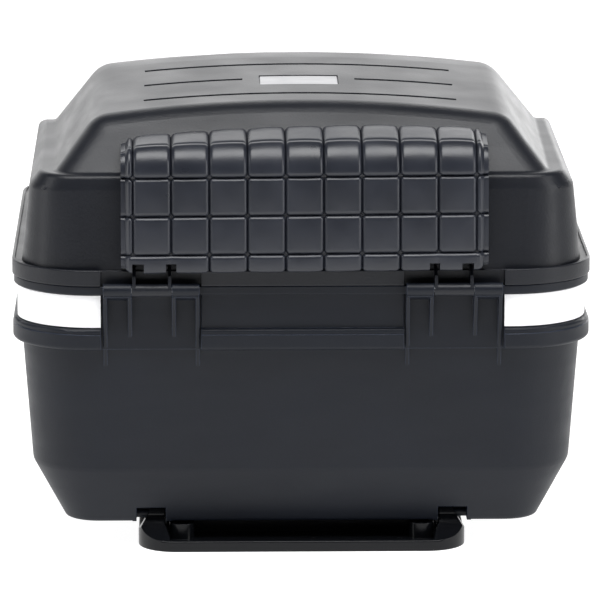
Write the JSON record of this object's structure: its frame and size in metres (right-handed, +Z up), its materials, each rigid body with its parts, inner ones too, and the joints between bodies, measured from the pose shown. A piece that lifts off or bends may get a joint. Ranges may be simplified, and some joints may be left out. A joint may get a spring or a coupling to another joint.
{
  "type": "motorcycle top case",
  "caption": "Hinged hard-shell motorcycle top case with backrest pad, reflective band, keyed rear latch and a bolt-on mounting plate.",
  "frame": {"origin": "centre of the bounding box at the underside of the mounting plate", "axes": "+Z up, -Y towards the rider (hinges and backrest pad), +Y towards the rear (latch), +X to the right when seen from the rider's side"},
  "size_m": [0.4154, 0.4319, 0.324],
  "materials": {
    "shell_black": "fine satin grain, moulded polypropylene",
    "lid_black": "fine leather-like grain, moulded ABS",
    "trim_black": "smooth satin",
    "plate_gloss_black": "gloss black, glass-filled nylon",
    "pad_polyurethane": "smooth semi-gloss self-skinning foam",
    "strip_white": "white retro-reflective film",
    "reflector_red": "prismatic lens",
    "emblem_grey": "blank, satin light grey",
    "seal_rubber": "matt black rubber",
    "mat_rubber": "ribbed mat",
    "steel_zinc": "zinc plated",
    "lock_chrome": "polished"
  },
  "bodies": {
    "mount": {"mounting_plate": "plate_gloss_black", "catch_plate": "steel_zinc", "catch_screws": "steel_zinc", "plate_pads": "seal_rubber"},
    "case": {"base_shell": "shell_black", "lid_seal": "seal_rubber", "floor_mat": "mat_rubber", "mechanism_cover": "shell_black", "cover_screws": "steel_zinc", "latch_pin": "steel_zinc", "hinge_pin_left": "steel_zinc", "hinge_pin_right": "steel_zinc", "reflective_strip_left": "strip_white", "reflective_strip_right": "strip_white", "rear_reflector_left": "reflector_red", "rear_reflector_right": "reflector_red", "release_bezel": "trim_black"},
    "lid": {"lid_shell": "lid_black", "emblem_plate": "emblem_grey", "lid_striker": "steel_zinc", "striker_rivets": "steel_zinc", "backrest_pad": "pad_polyurethane", "backrest_screws": "steel_zinc"},
    "latch": {"latch_lever": "trim_black", "lock_barrel": "lock_chrome"},
    "lock": {"lock_plug": "lock_chrome", "lock_cam": "steel_zinc", "cam_screw": "steel_zinc"},
    "release": {"release_knob": "trim_black", "release_bolt": "steel_zinc", "knob_screws": "steel_zinc"}
  },
  "joints": [
    {"name": "case_tilt", "type": "hinge", "parent": "mount", "child": "case", "pos_m": [0, -0.156, 0.022], "axis": [1, 0, 0], "range_deg": [0, 12]},
    {"name": "lid_hinge", "type": "hinge", "parent": "case", "child": "lid", "pos_m": [0, -0.209, 0.196], "axis": [1, 0, 0], "range_deg": [0, 95]},
    {"name": "latch_turn", "type": "hinge", "parent": "case", "child": "latch", "pos_m": [0, 0.1995, 0.146], "axis": [-1, 0, 0], "range_deg": [-7, 50]},
    {"name": "lock_turn", "type": "hinge", "parent": "latch", "child": "lock", "pos_m": [0, 0.20364, 0.17975], "axis": [0, 0.9925, -0.1219], "range_deg": [0, 90]},
    {"name": "release_slide", "type": "slide", "parent": "case", "child": "release", "axis": [1, 0, 0], "range_m": [0, 0.01]}
  ]
}
